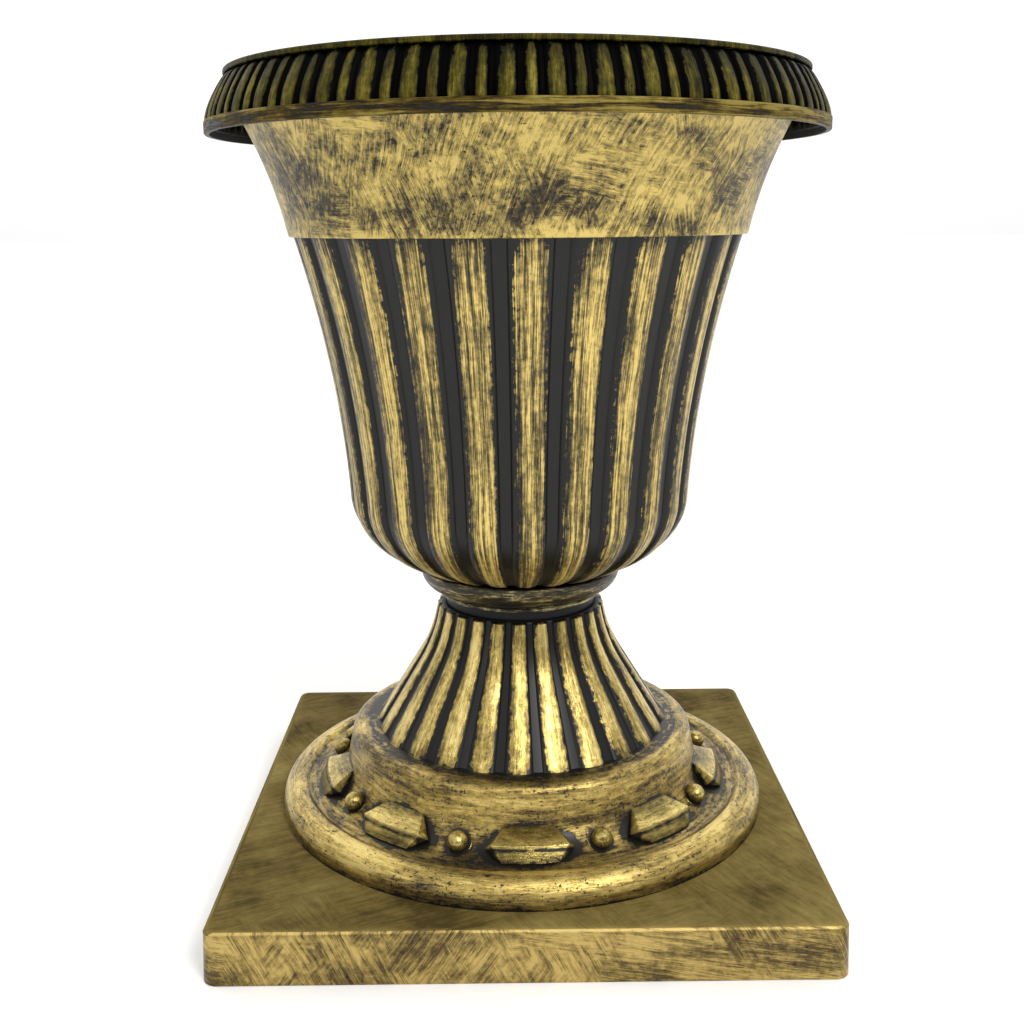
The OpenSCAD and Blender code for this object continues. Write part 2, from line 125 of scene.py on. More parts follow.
# The bowl: one hollow moulding of polyethylene, black right through, with a foot, a fluted cup with 25
# half-round ribs, a step and a plain flaring band. The spigot under its foot stands loose in the pedestal's
# socket. Its gold is brushed on by hand. From here on all sizes are in millimetres.
mm = 0.001
spigot_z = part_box("bowl")[0].z / mm
top_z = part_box("bowl")[1].z / mm
spigot_r, well_r, bowl_wall, floor_t = 39.92, 36.92, 3, 3.5
foot_z, foot_r, bead_h, bead_round = 141.3, 42.6, 2, 0.6
groove_depth, groove_low, groove_high = 0.8, 2.6, 3.2
foot_round, foot_round_drop, foot_tuck = 10.2, 1.5, 0.5
cup_z, cup_start_r, cup_round_in, cup_round_h, cup_round_share = 156.5, 50, 26.3, 44.5, 0.93
cup_low_r, cup_top_r, cup_flare_share = 88.7, 112, 0.34
step_z, band_low_r, band_top_r, band_top_z, band_flare_share = 327.9, 114.4, 140, 392.9, 0.5
flute_count, bowl_turn, rib_h, rib_share, rib_fullness = 25, 2.2, 2.8, 0.74, 2.3
rib_top_fade, rib_fade_h = 0.6, 6
edge_round, edge_ring, sliver = 0.7, 0.3, 0.05
bowl_columns, bowl_grain_r = 750, 112
cup_round_z = cup_z + cup_round_h * cup_round_share


def flare(z, low, high, low_r, high_r, straight):
    """A radius that grows with height: partly in proportion to it and partly with its square."""
    s = (z - low) / (high - low)
    return low_r + (high_r - low_r) * (straight * s + (1 - straight) * s * s)


def cup_r(z):
    """The cup's radius over its ribs: a quarter of an ellipse, then a flare."""
    drop = np.clip((cup_round_z - z) / cup_round_h, 0, 1)
    rounded = cup_round_in + (cup_low_r - cup_round_in) * np.sqrt(1 - drop ** 2)
    flared = flare(z, cup_round_z, step_z, cup_low_r, cup_top_r, cup_flare_share)
    return np.where(z < cup_round_z, rounded, flared)


def band_r(z):
    """The band's radius: a flare from the step to the lip."""
    return flare(z, step_z, band_top_z, band_low_r, band_top_r, band_flare_share)


def across_rib(angle, count, turn, share):
    """A point's place on the nearest rib: 0 at its middle, 1 and -1 where its right and left sides meet the
    wall. Angles are in degrees from the front."""
    pitch = 360 / count
    return ((angle - turn + pitch / 2) % pitch - pitch / 2) / (pitch * share / 2)


def rounded_rib(across, fullness):
    """A rib's height as a share: a superellipse over its width, level with the wall outside it."""
    return np.clip(1 - np.abs(across) ** fullness, 0, 1) ** (1 / fullness)


def caught_and_shaded(across, left=0.66, right=0.8, left_power=1.8, right_power=4, loss=0.6, most=3):
    """How well a rib's surface catches the brush: 1 at its middle, and less by the loss where the paint ends
    on its left and right. It falls off slowly on the left, as painted shade on the rib's left flank, and
    sharply on the right, each by its own power."""
    fall = np.where(across < 0, np.abs(across / left) ** left_power, np.abs(across / right) ** right_power)
    return 1 - loss * np.minimum(fall, most)


def arc(centre, radius, start, end, count):
    """Points on an arc about a centre, with angles in degrees."""
    a = np.radians(np.linspace(start, end, count))
    return centre[0] + radius * np.cos(a), centre[1] + radius * np.sin(a)


def stretch(r, z, rib=0, paint=0, finish=0):
    """One stretch of an outline, a row for each point: radius, height, rib height, how well it catches the
    paint, from 0 to about 1, and the number of its finish."""
    r, z = np.broadcast_arrays(np.asarray(r, float), np.asarray(z, float))
    return np.stack([r, z, r * 0 + rib, r * 0 + paint, r * 0 + finish], -1)


def net(name, points, grain, crest, finish, materials, ends=(True, True), sharp=40):
    """A mesh of quads on a grid of points in mm. Its rows, its columns or both join end to start. Grain is
    each point's place in the paint's own millimetres, and crest is how well it catches the brush."""
    rows, cols = points.shape[:2]
    i, j = np.meshgrid(np.arange(rows if ends[0] else rows - 1), np.arange(cols if ends[1] else cols - 1),
                       indexing="ij")
    over, along = (i + 1) % rows, (j + 1) % cols
    quads = np.stack([i * cols + j, i * cols + along, over * cols + along, over * cols + j], -1)
    mesh = bpy.data.meshes.new(name)
    mesh.from_pydata(points.reshape(-1, 3) * mm, [], quads.reshape(-1, 4))
    for title, kind, field, values in [("grain", "FLOAT_VECTOR", "vector", grain),
                                       ("crest", "FLOAT", "value", crest)]:
        attribute = mesh.attributes.new(title, kind, "POINT")
        attribute.data.foreach_set(field, values.astype("f").ravel())
    for material in materials:
        mesh.materials.append(material)
    mesh.polygons.foreach_set("material_index", np.broadcast_to(finish, i.shape).astype("i").ravel())
    mesh.shade_smooth()
    mesh.set_sharp_from_angle(angle=radians(sharp))
    made = bpy.data.objects.new(name, mesh)
    bpy.context.scene.collection.objects.link(made)
    return made


def turned(name, outline, across, fullness, materials, grain_r, miss_and_shade=0):
    """A closed outline turned about the axis: the radius times each column's cosine and sine. Ribs raise it
    where its rows ask for them, and across gives each column's place on its rib. The grain runs round a
    circle of its own radius and up the outline's length. Miss_and_shade is how much less each point catches
    the brush: on the pedestal it is painted shade close round the leaves and berries, together with the
    paint the brush missed there."""
    r, z, rib, paint, finish = outline.T[:, :, None]
    cols = across.shape[-1]
    angle = np.radians(np.arange(cols) * 360 / cols - 90)
    radius = r + rib * rounded_rib(across, fullness)
    points = np.stack([radius * np.cos(angle), radius * np.sin(angle), z + radius * 0], -1)
    step = np.hypot(np.diff(r[:, 0], append=r[0, 0]), np.diff(z[:, 0], append=z[0, 0]))
    run = np.concatenate([[0], np.cumsum(step)[:-1]])[:, None]
    grain = [grain_r * np.cos(angle) + run * 0, grain_r * np.sin(angle) + run * 0, run + angle * 0]
    crest = np.where(rib > 0, paint - 1 + caught_and_shaded(across), paint + across * 0)
    return net(name, points, np.stack(grain, -1), crest - miss_and_shade, finish.astype(int), materials)


def black_moulding(name, colour="#0f0f10", roughness=0.45, grit=0.8, shine=0.2, relief=0.25, depth=0.1):
    """Bare black plastic: a satin skin with a faint orange-peel from the mould, its grit and depth in mm."""
    material = bpy.data.materials.new(name)
    material.use_nodes = True
    tree = material.node_tree
    shader = tree.nodes["Principled BSDF"]
    shader.inputs["Base Color"].default_value = linear(colour)
    shader.inputs["Roughness"].default_value = roughness
    shader.inputs["Specular IOR Level"].default_value = shine
    place = node(tree, "TexCoord").outputs["Object"]
    peel = node(tree, "TexNoise", {"Vector": place, "Scale": 1 / (grit * mm), "Detail": 2})
    bump = node(tree, "Bump", {"Height": peel.outputs["Fac"], "Strength": relief, "Distance": depth * mm})
    tree.links.new(bump.outputs["Normal"], shader.inputs["Normal"])
    return material


# The brush's habits, the same in every gold: how many waves of its noises there are in a millimetre, how
# far each border is blurred, and how much the notches and the crests lighten the paint.
sway_scale, notch_scale, grit_scale, dab_scale, broad_scale = 0.03, 0.28, 0.7, 0.7, 0.27
edge_blur, film_blur, speck_blur, lay_blur = 0.04, 0.05, 0.05, 0.03
fine_weight, noise_middle, grit_in_film, first_lay, lays_range = 1.4, 0.5, -0.3, 0.36, 0.28
notch_tone, crest_tone, tone_range, first_tone, tones_range = 0.3, 0.3, 0.62, 0.15, 0.6
paint_relief, paint_depth = 0.5, 0.25


def dry_brushed(name, tones, lays, hair=0.6, length=22, depth=1.0, patch=(30, 30, 90), zoned=0.8, dab=0,
                bend=2, edge=0.4, frayed=1.1, thin=-0.3, specks=0.72, bare="#0c0b09", bare_rough=0.38,
                bare_shine=0.32, rough=0.38, metallic=0.5, shine=0.5):
    """Gold paint dragged over black plastic with a nearly dry brush. It takes on the crests, breaks up at
    their sides and shows the brush's hairs. Hair and length are a hair mark's width and length in mm, and
    depth how strongly it shows. Each lay is a way the brush went: the axes that its hairs follow, a tilt,
    and a twist about the urn in radians per mm of height. Bend is how far the hairs wander in mm. With more
    lays the dabs, dab mm wide, are shared among them. Patch is the size of the places where the paint is
    fuller or thinner, and zoned how much. Edge is the crest where the paint ends, and frayed how much its
    fine notches shift that. A film under thin lets the plastic through, and specks is where small bare
    specks start. Tones run from the thinnest film to the fullest."""
    material = bpy.data.materials.new(name)
    material.use_nodes = True
    tree = material.node_tree
    shader = tree.nodes["Principled BSDF"]
    grain = node(tree, "Attribute", attribute_name="grain").outputs["Vector"]
    crest = node(tree, "Attribute", attribute_name="crest").outputs["Fac"]
    height = node(tree, "SeparateXYZ", {0: grain}).outputs["Z"]

    # The paint's load in patches, and the hairs' paths, which sway a little.
    spread = node(tree, "Mapping", {"Vector": grain, "Scale": patch}, vector_type="TEXTURE")
    patches = node(tree, "TexNoise", {"Vector": spread.outputs[0], "Scale": 1, "Detail": 4,
                                      "Roughness": 0.6})
    load = node(tree, "Math", {0: patches.outputs["Fac"], 1: zoned, 2: -noise_middle * zoned},
                operation="MULTIPLY_ADD")
    sway = node(tree, "TexNoise", {"Vector": grain, "Scale": sway_scale, "Detail": 1})
    sway = node(tree, "VectorMath", {0: sway.outputs["Color"], 1: (bend,) * 3, 2: grain},
                operation="MULTIPLY_ADD")

    # Each lay's hair marks: a fine and a broad noise drawn out along the hairs. The dabs share them out.
    share = 0
    if dab:
        split = node(tree, "TexNoise", {"Vector": grain, "Scale": dab_scale / dab, "Detail": 4,
                                        "Roughness": 0.62})
        share = split.outputs["Fac"]
    for count, (axes, tilt, twist) in enumerate(lays):
        turn = node(tree, "Math", {0: height, 1: twist}, operation="MULTIPLY")
        spun = node(tree, "VectorRotate", {"Vector": sway.outputs[0], "Angle": turn.outputs[0]},
                    rotation_type="Z_AXIS")
        scale = [length if axis in axes else hair for axis in "xyz"]
        place = node(tree, "Mapping", {"Vector": spun.outputs[0], "Rotation": tilt, "Scale": scale},
                     vector_type="TEXTURE").outputs[0]
        fine = node(tree, "TexNoise", {"Vector": place, "Scale": 1, "Detail": 4, "Roughness": 0.75})
        broad = node(tree, "TexNoise", {"Vector": place, "Scale": broad_scale, "Detail": 2,
                                        "Roughness": 0.5})
        stroke = node(tree, "Math", {0: fine.outputs["Fac"], 1: fine_weight, 2: broad.outputs["Fac"]},
                      operation="MULTIPLY_ADD").outputs[0]
        if count:
            border = first_lay + lays_range * count / len(lays)
            chosen = node(tree, "MapRange", {"Value": share, "From Min": border - lay_blur,
                                             "From Max": border + lay_blur})
            strokes = node(tree, "Mix", {0: chosen.outputs[0], 2: strokes, 3: stroke}).outputs[0]
        else:
            strokes = stroke
    film = node(tree, "Math", {0: strokes, 1: depth, 2: load.outputs[0]}, operation="MULTIPLY_ADD")
    film = node(tree, "Math", {0: film.outputs[0], 1: (fine_weight + 1) * noise_middle * depth},
                operation="SUBTRACT").outputs[0]

    # Where paint is held: inside its frayed edge, where the film isn't too thin, and off the specks.
    notches = node(tree, "TexNoise", {"Vector": grain, "Scale": notch_scale, "Detail": 5, "Roughness": 0.7})
    notches = node(tree, "Math", {0: notches.outputs["Fac"], 1: frayed, 2: -noise_middle * frayed},
                   operation="MULTIPLY_ADD").outputs[0]
    cover = node(tree, "Math", {0: film, 1: crest}, operation="ADD").outputs[0]
    cover = node(tree, "Math", {0: cover, 1: notches}, operation="ADD").outputs[0]
    inside = node(tree, "MapRange", {"Value": cover, "From Min": edge - edge_blur,
                                     "From Max": edge + edge_blur},
                  interpolation_type="SMOOTHSTEP").outputs[0]
    through = node(tree, "MapRange", {"Value": film, "From Min": thin - film_blur,
                                      "From Max": thin + film_blur},
                   interpolation_type="SMOOTHSTEP").outputs[0]
    grit = node(tree, "TexNoise", {"Vector": grain, "Scale": grit_scale, "Detail": 3, "Roughness": 0.7})
    grit = node(tree, "Math", {0: film, 1: grit_in_film, 2: grit.outputs["Fac"]}, operation="MULTIPLY_ADD")
    whole = node(tree, "MapRange", {"Value": grit.outputs[0], "From Min": specks,
                                    "From Max": specks - speck_blur},
                 interpolation_type="SMOOTHSTEP").outputs[0]
    held = node(tree, "Math", {0: inside, 1: whole}, operation="MULTIPLY").outputs[0]
    held = node(tree, "Math", {0: held, 1: through}, operation="MULTIPLY").outputs[0]

    # The paint's tone, and what the shader takes from it and from the bare plastic.
    tone = node(tree, "Math", {0: notches, 1: notch_tone, 2: film}, operation="MULTIPLY_ADD").outputs[0]
    tone = node(tree, "Math", {0: crest, 1: crest_tone, 2: tone}, operation="MULTIPLY_ADD").outputs[0]
    tone = node(tree, "MapRange", {"Value": tone, "From Min": 0.0, "From Max": tone_range}).outputs[0]
    ramp = node(tree, "ValToRGB", {"Fac": tone})
    for stop, colour in enumerate(tones):
        place = first_tone + tones_range * stop / (len(tones) - 1)
        point = ramp.color_ramp.elements[stop] if stop < 2 else ramp.color_ramp.elements.new(place)
        point.position, point.color = place, linear(colour)
    colour = node(tree, "Mix", {0: held, 6: linear(bare), 7: ramp.outputs["Color"]},
                  data_type="RGBA").outputs[2]
    gloss = node(tree, "MapRange", {"Value": held, "To Min": bare_rough, "To Max": rough}).outputs[0]
    shine = node(tree, "MapRange", {"Value": held, "To Min": bare_shine, "To Max": shine}).outputs[0]
    metal = node(tree, "Math", {0: held, 1: metallic}, operation="MULTIPLY").outputs[0]
    raised = node(tree, "Math", {0: strokes, 1: held}, operation="MULTIPLY").outputs[0]
    bump = node(tree, "Bump", {"Height": raised, "Strength": paint_relief, "Distance": paint_depth * mm})
    for source, socket in [(colour, "Base Color"), (gloss, "Roughness"), (shine, "Specular IOR Level"),
                           (metal, "Metallic"), (bump.outputs["Normal"], "Normal")]:
        tree.links.new(source, shader.inputs[socket])
    return material


# The brush ran down the ribs and round the foot. On the band it was dabbed three ways, which leaves crossed
# marks with the black showing between them. The inside was never painted.
level = (0, 0, 0)
upright, round_about = ("z", level, 0), ("xy", level, 0)
inside_black = black_moulding("black_polyethylene_inside")
rib_gold = dry_brushed("dry_brushed_gold_ribs", ["#3d351f", "#6f6237", "#a58e4e", "#d9be6c"], [upright],
                       hair=0.55, length=24, patch=(26, 26, 100), zoned=0.55, frayed=2.1, thin=-0.28)
band_lays = [("z", level, 0.0026), ("z", level, -0.0034), ("xy", (0, radians(8), 0), 0)]
band_gold = dry_brushed("dry_brushed_gold_band", ["#42371f", "#7f703f", "#a9934d", "#ccb365"], band_lays,
                        hair=0.45, length=6, depth=0.65, patch=(34, 34, 24), zoned=1.1, dab=30, bend=5,
                        frayed=3, thin=-0.29, specks=0.67)
foot_gold = dry_brushed("dry_brushed_gold_foot", ["#221d10", "#413925", "#675b3b", "#b0a272"], [round_about],
                        hair=0.8, length=14, patch=(40, 40, 9), zoned=0.6)

# The outline starts in the bowl's well and goes down round the spigot, up the outside and back down inside.
cup_turn = np.degrees(np.arccos(cup_round_share))
round_z = cup_round_z - cup_round_h * np.cos(np.radians(np.linspace(cup_turn, 90, 22)))
cup_heights = np.concatenate([round_z, np.linspace(cup_round_z, step_z, 29)[1:]])
band_heights = np.linspace(step_z + edge_round, band_top_z, 19)
foot_top_r = foot_r + foot_round
step_r = band_low_r - edge_round
inner_round_r = cup_low_r - cup_round_in - rib_h - bowl_wall
inner_angles = np.radians(np.linspace(90, cup_turn, 8))
inner_band_z = np.linspace(band_top_z, step_z + bowl_wall, 8)
inner_cup_z = np.linspace(step_z, cup_round_z, 12)[:-1]
bowl_outline = np.vstack([
    stretch([well_r, spigot_r, spigot_r, spigot_r], [spigot_z, spigot_z, spigot_z + edge_ring, foot_z]),
    stretch(foot_r - bead_round, foot_z),
    stretch(*arc((foot_r - bead_round, foot_z + bead_round), bead_round, -60, 0, 3), paint=0.9, finish=1),
    stretch(*arc((foot_r - bead_round, foot_z + bead_h - bead_round), bead_round, 0, 80, 4), paint=0.95,
            finish=1),
    stretch(foot_r - groove_depth, [foot_z + groove_low, foot_z + groove_high], finish=1),
    stretch(*arc((foot_r, cup_z - foot_round_drop), foot_round, -90, 0, 14), paint=0.62, finish=1),
    stretch([foot_top_r, foot_top_r - foot_tuck], [cup_z - foot_tuck, cup_z], paint=0.45, finish=1),
    stretch(cup_start_r, cup_z + sliver),
    stretch(cup_r(cup_heights) - rib_h, cup_heights, rib=rib_h,
            paint=1 - rib_top_fade * np.exp((cup_heights - step_z) / rib_fade_h), finish=2),
    stretch([step_r - edge_ring, step_r], step_z, paint=0.5, finish=3),
    stretch(*arc((step_r, step_z + edge_round), edge_round, -60, 0, 3), paint=1.2, finish=3),
    stretch(band_r(band_heights[1:]), band_heights[1:], paint=0.86, finish=3),
    stretch(band_top_r - bowl_wall, band_top_z),
    stretch(band_r(inner_band_z[1:]) - bowl_wall, inner_band_z[1:]),
    stretch(cup_r(inner_cup_z) - rib_h - bowl_wall, inner_cup_z),
    stretch(cup_round_in + inner_round_r * np.sin(inner_angles),
            cup_round_z - (cup_round_h - bowl_wall) * np.cos(inner_angles)),
    stretch(well_r, [cup_z, spigot_z + floor_t]),
])
bowl_angles = np.arange(bowl_columns) * 360 / bowl_columns
bowl_ribs = across_rib(bowl_angles, flute_count, bowl_turn, rib_share)[None, :]
bowl = turned("bowl_body", bowl_outline, bowl_ribs, rib_fullness,
              [inside_black, foot_gold, rib_gold, band_gold], bowl_grain_r)
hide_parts("bowl")
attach(bowl, "bowl")

# The bowl's floor: a flat disc of the same moulding, black and unpainted, with a hole for the bolt in its
# middle and three drain holes round it, which the rubber plugs close.
bolt_hole_r, drain_r, drain_circle_r, plug_count, floor_lap = 4.4, 5, 22, 3, 0.4
disc_corners, hole_corners, drain_corners, weld = 120, 64, 40, 0.001


def ring_of(radius, centre=(0, 0), count=hole_corners):
    """The corners of a circle about a centre."""
    a = np.linspace(0, 2 * np.pi, count, endpoint=False)
    return np.stack([centre[0] + radius * np.cos(a), centre[1] + radius * np.sin(a)], -1)


def plate(name, outlines, low, high, material):
    """A flat plate between two heights, bounded by its first outline and holed by the others."""
    curve = bpy.data.curves.new(name, "CURVE")
    curve.dimensions, curve.fill_mode, curve.extrude = "2D", "BOTH", (high - low) / 2 * mm
    for outline in outlines:
        spline = curve.splines.new("POLY")
        spline.points.add(len(outline) - 1)
        spline.points.foreach_set("co", np.pad(outline * mm, ((0, 0), (0, 2))).ravel())
        spline.use_cyclic_u = True
    drawn = bpy.data.objects.new(name, curve)
    mesh = bpy.data.meshes.new_from_object(drawn)
    bpy.data.objects.remove(drawn)
    mesh.transform(Matrix.Translation((0, 0, (low + high) / 2 * mm)))
    mesh.materials.clear()
    mesh.materials.append(material)
    made = bpy.data.objects.new(name, mesh)
    bpy.context.scene.collection.objects.link(made)
    return welded(made)


def welded(made):
    """Merges the points that lie on top of each other and turns the faces outwards."""
    shape = bmesh.new()
    shape.from_mesh(made.data)
    bmesh.ops.remove_doubles(shape, verts=shape.verts, dist=weld * mm)
    bmesh.ops.recalc_face_normals(shape, faces=shape.faces)
    shape.to_mesh(made.data)
    shape.free()
    return made


plug_angles = np.radians(90 + 360 / plug_count * np.arange(plug_count))
drain_places = drain_circle_r * np.stack([np.cos(plug_angles), np.sin(plug_angles)], -1)
drains = [ring_of(drain_r, place, drain_corners) for place in drain_places]
floor_outlines = [ring_of(well_r + floor_lap, count=disc_corners), ring_of(bolt_hole_r)] + drains
bowl_floor = plate("bowl_floor", floor_outlines, spigot_z, spigot_z + floor_t, inside_black)
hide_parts("bowl")
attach(bowl_floor, "bowl")

# The lip: the same moulding turned over outwards and down. Its face carries 49 wide and 49 narrow gadroons
# between a plain edge below and a small rim above. The brush only touched it lightly, so its gold is dark.
lip_r, lip_z, lip_wall, lip_edge_low, lip_columns, lip_grain_r = 151.6, 375.42, 2.5, 1.5, 1200, 150
rim_z, rim_r, rim_w, rim_round, rim_groove = 402.32, 141.4, 4.4, 0.9, 0.5
gadroon_z, gadroon_back, gadroon_h, face_power, gadroon_end = 381.32, 0.5, 1.8, 1.5, 3.2
gadroon_pairs, gadroon_turn, wide_share, narrow_share, gadroon_fullness = 49, -2.3, 0.46, 0.3, 2.4
face_paint, dome_shade_paint, top_shade_paint, top_shade_paint_h, relief_fade_h = 0.3, 0.3, 0.5, 12, 2
edge_gold = dry_brushed("dry_brushed_gold_edges", ["#1c160a", "#453710", "#5f501d", "#857638"],
                        [round_about], hair=0.8, length=22, patch=(45, 45, 12), zoned=1.3, thin=-0.2,
                        rough=0.55, metallic=0.3, shine=0.12)
gadroon_gold = dry_brushed("dry_brushed_gold_gadroons", ["#1b1902", "#312d07", "#4b440d", "#716626"],
                           [upright], hair=0.9, length=8, depth=0.5, patch=(30, 30, 30), zoned=0.5,
                           frayed=1.4, bare="#020202", bare_rough=0.5, bare_shine=0.02, rough=0.5,
                           metallic=0.3, shine=0.1)


def face_r(z):
    """The radius over the gadroons: it leans in slowly at first and faster towards the rim, by a power."""
    s = (z - gadroon_z) / (rim_z - gadroon_z)
    return lip_r - gadroon_back - (lip_r - rim_r) * s ** face_power


# The gadroons' relief shows inside the lip too. It fades out towards the plain edge.
under_z = np.linspace(band_top_z, gadroon_z, 6)
face_z = np.linspace(gadroon_z, rim_z, 24)
dome = np.clip((rim_z - face_z) / gadroon_end, 0, 1)
# Painted shade: the gadroons hold less gold towards the rim, so that their rounded tops are dark and their
# lower parts lighter.
gadroon_paint = face_paint + dome_shade_paint * dome + top_shade_paint * np.clip((rim_z - face_z) / top_shade_paint_h, 0, 1)
inner_face_r = face_r(gadroon_z) - gadroon_h - lip_wall
edge_mid = lip_r - edge_round
rim_in = rim_r - rim_w + rim_round
lip_outline = np.vstack([
    stretch(rim_r - rim_w, band_top_z),
    stretch(face_r(under_z) - gadroon_h - lip_wall, under_z,
            rib=gadroon_h * np.clip((under_z - gadroon_z) / relief_fade_h, 0, 1)),
    stretch([inner_face_r, lip_r - lip_wall], gadroon_z - lip_wall),
    stretch(lip_r - lip_wall, lip_z),
    stretch(edge_mid, lip_z, paint=0.6, finish=1),
    stretch(*arc((edge_mid, lip_z + edge_round), edge_round, -60, 0, 3), paint=0.8, finish=1),
    stretch(lip_r, np.linspace(lip_z + lip_edge_low, gadroon_z - edge_round, 4), paint=0.78, finish=1),
    stretch(*arc((edge_mid, gadroon_z - edge_round), edge_round, 0, 90, 4), paint=0.8, finish=1),
    stretch(face_r(face_z) - gadroon_h, face_z, rib=gadroon_h * np.sqrt(1 - (1 - dome) ** 2),
            paint=gadroon_paint, finish=2),
    stretch(rim_r - rim_groove, rim_z + sliver, paint=0.3, finish=2),
    stretch(rim_r, [rim_z + rim_groove, top_z - rim_round], paint=0.7, finish=2),
    stretch(*arc((rim_r - rim_round, top_z - rim_round), rim_round, 20, 90, 4), paint=0.75, finish=2),
    stretch(*arc((rim_in, top_z - rim_round), rim_round, 90, 180, 4), paint=0.6, finish=1),
])
lip_angles = np.arange(lip_columns) * 360 / lip_columns
wide = across_rib(lip_angles, gadroon_pairs, gadroon_turn, wide_share)
narrow = across_rib(lip_angles, gadroon_pairs, gadroon_turn + 180 / gadroon_pairs, narrow_share)
gadroons = np.where(np.abs(wide) < np.abs(narrow), wide, narrow)[None, :]
lip = turned("bowl_lip", lip_outline, gadroons, gadroon_fullness, [inside_black, edge_gold, gadroon_gold],
             lip_grain_r)
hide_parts("bowl")
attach(lip, "bowl")

# The pedestal: a second hollow moulding of the same black polyethylene, with a fluted neck, a round
# shoulder, a cove that carries the leaves, and a round ring that stands on the plinth. Its gold is the
# fullest, rubbed on until it shines.
ledge_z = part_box("pedestal")[1].z / mm
ledge_r, ledge_round, ledge_plain, neck_rib_h, neck_turn, neck_share = 44.3, 0.6, 1, 2, -1.7, 0.74
neck_lean_top, neck_lean_low, neck_curve_r, neck_foot_z = radians(9), radians(31.8), 80, 69.5
neck_paint, foot_loss, foot_loss_h, ledge_loss, ledge_loss_h = 1.14, 0.5, 2, 0.4, 3
web_z, web_top_z, web_gap, socket_r, pedestal_wall = 126.5, 130, 0.02, 40, 3
shoulder_round, shoulder_centre, shelf_r, neck_foot_r = 5.8, (86.7, 63.7), 84, 80
ring_r, ring_round, ring_centre, ring_turn_in = 130.8, 10, (120.8, 30.2), 10
ring_foot, ring_foot_shade_paint, ring_paint, ring_paint_rise, ring_paint_share = 1, [0.15, 0.42], 0.7, 0.35, 0.2
cove_r, cove_z, cove_low, cove_lip, cove_wall = 94.5, 54, (116.3, 37.65), (117.4, 38.4), 4
cove_normal = np.array([[0.57], [0.82]])
cove_paint, cove_paint_rise, cove_paint_turn, cove_paint_over = 0.56, 0.36, 62, 30
pedestal_grain_r, plinth_h = 90, 26
neck_centre = (ledge_r + neck_curve_r * np.cos(neck_lean_top),
               ledge_z + neck_curve_r * np.sin(neck_lean_top))
neck_arc_z = neck_centre[1] - neck_curve_r * np.sin(neck_lean_low)
neck_arc_r = neck_centre[0] - neck_curve_r * np.cos(neck_lean_low)


def neck_r(z):
    """The neck's radius over its ribs: an arc under the ledge, then a straight cone that leans out."""
    below = np.minimum(neck_centre[1] - z, neck_curve_r)
    bent = neck_centre[0] - np.sqrt(neck_curve_r ** 2 - below ** 2)
    return np.where(z > neck_arc_z, bent, neck_arc_r + np.tan(neck_lean_low) * (neck_arc_z - z))


def cove_at(turn):
    """A point on the cove: a quarter of an ellipse, hollow outwards. The turn is 0 at its top and 90 at its
    foot."""
    a = np.radians(turn)
    return np.array([cove_low[0] - (cove_low[0] - cove_r) * np.cos(a),
                     cove_z - (cove_z - cove_low[1]) * np.sin(a)])


neck_gold = dry_brushed("dry_brushed_gold_neck", ["#66552f", "#9a8748", "#c4ac62", "#e8d188"], [upright],
                        length=10, depth=0.4, patch=(12, 12, 24), frayed=2.2, rough=0.27, metallic=0.75)
base_gold = dry_brushed("dry_brushed_gold_base", ["#54442a", "#897743", "#b59b54", "#d8c075"], [round_about],
                        length=5, depth=0.45, patch=(40, 40, 16), bend=4, frayed=1.6, thin=-0.4, specks=0.63,
                        bare="#15140e", rough=0.3, metallic=0.8)

# The leaves' and berries' sizes come here, because the cove is darkened close round them: painted shade,
# together with the paint the brush missed there.
leaf_count, leaf_turn, leaf_len, leaf_wide = 9, 1.5, 44, 19.5
corner_share, leaf_edge_h, leaf_ridge_h, berry_r, berry_lift = 0.6, 3, 3.2, 5.25, 1.6
leaf_rise, leaf_drop, ridge_share = 1.6, 2.4, 0.84
miss_and_shade_most, miss_and_shade_width, miss_and_shade_above = 0.75, 2, 1
cove_top, cove_foot, cove_mid = cove_at(0), cove_at(90), cove_at(45)
leaf_middle = (cove_top + cove_foot) / 2
up_slope = (cove_top - cove_foot) / np.linalg.norm(cove_top - cove_foot)
outward = np.array([up_slope[1], -up_slope[0]])
cove_depth = (leaf_middle - cove_mid) @ outward
tip, side_w = leaf_len / 2, leaf_wide / 2

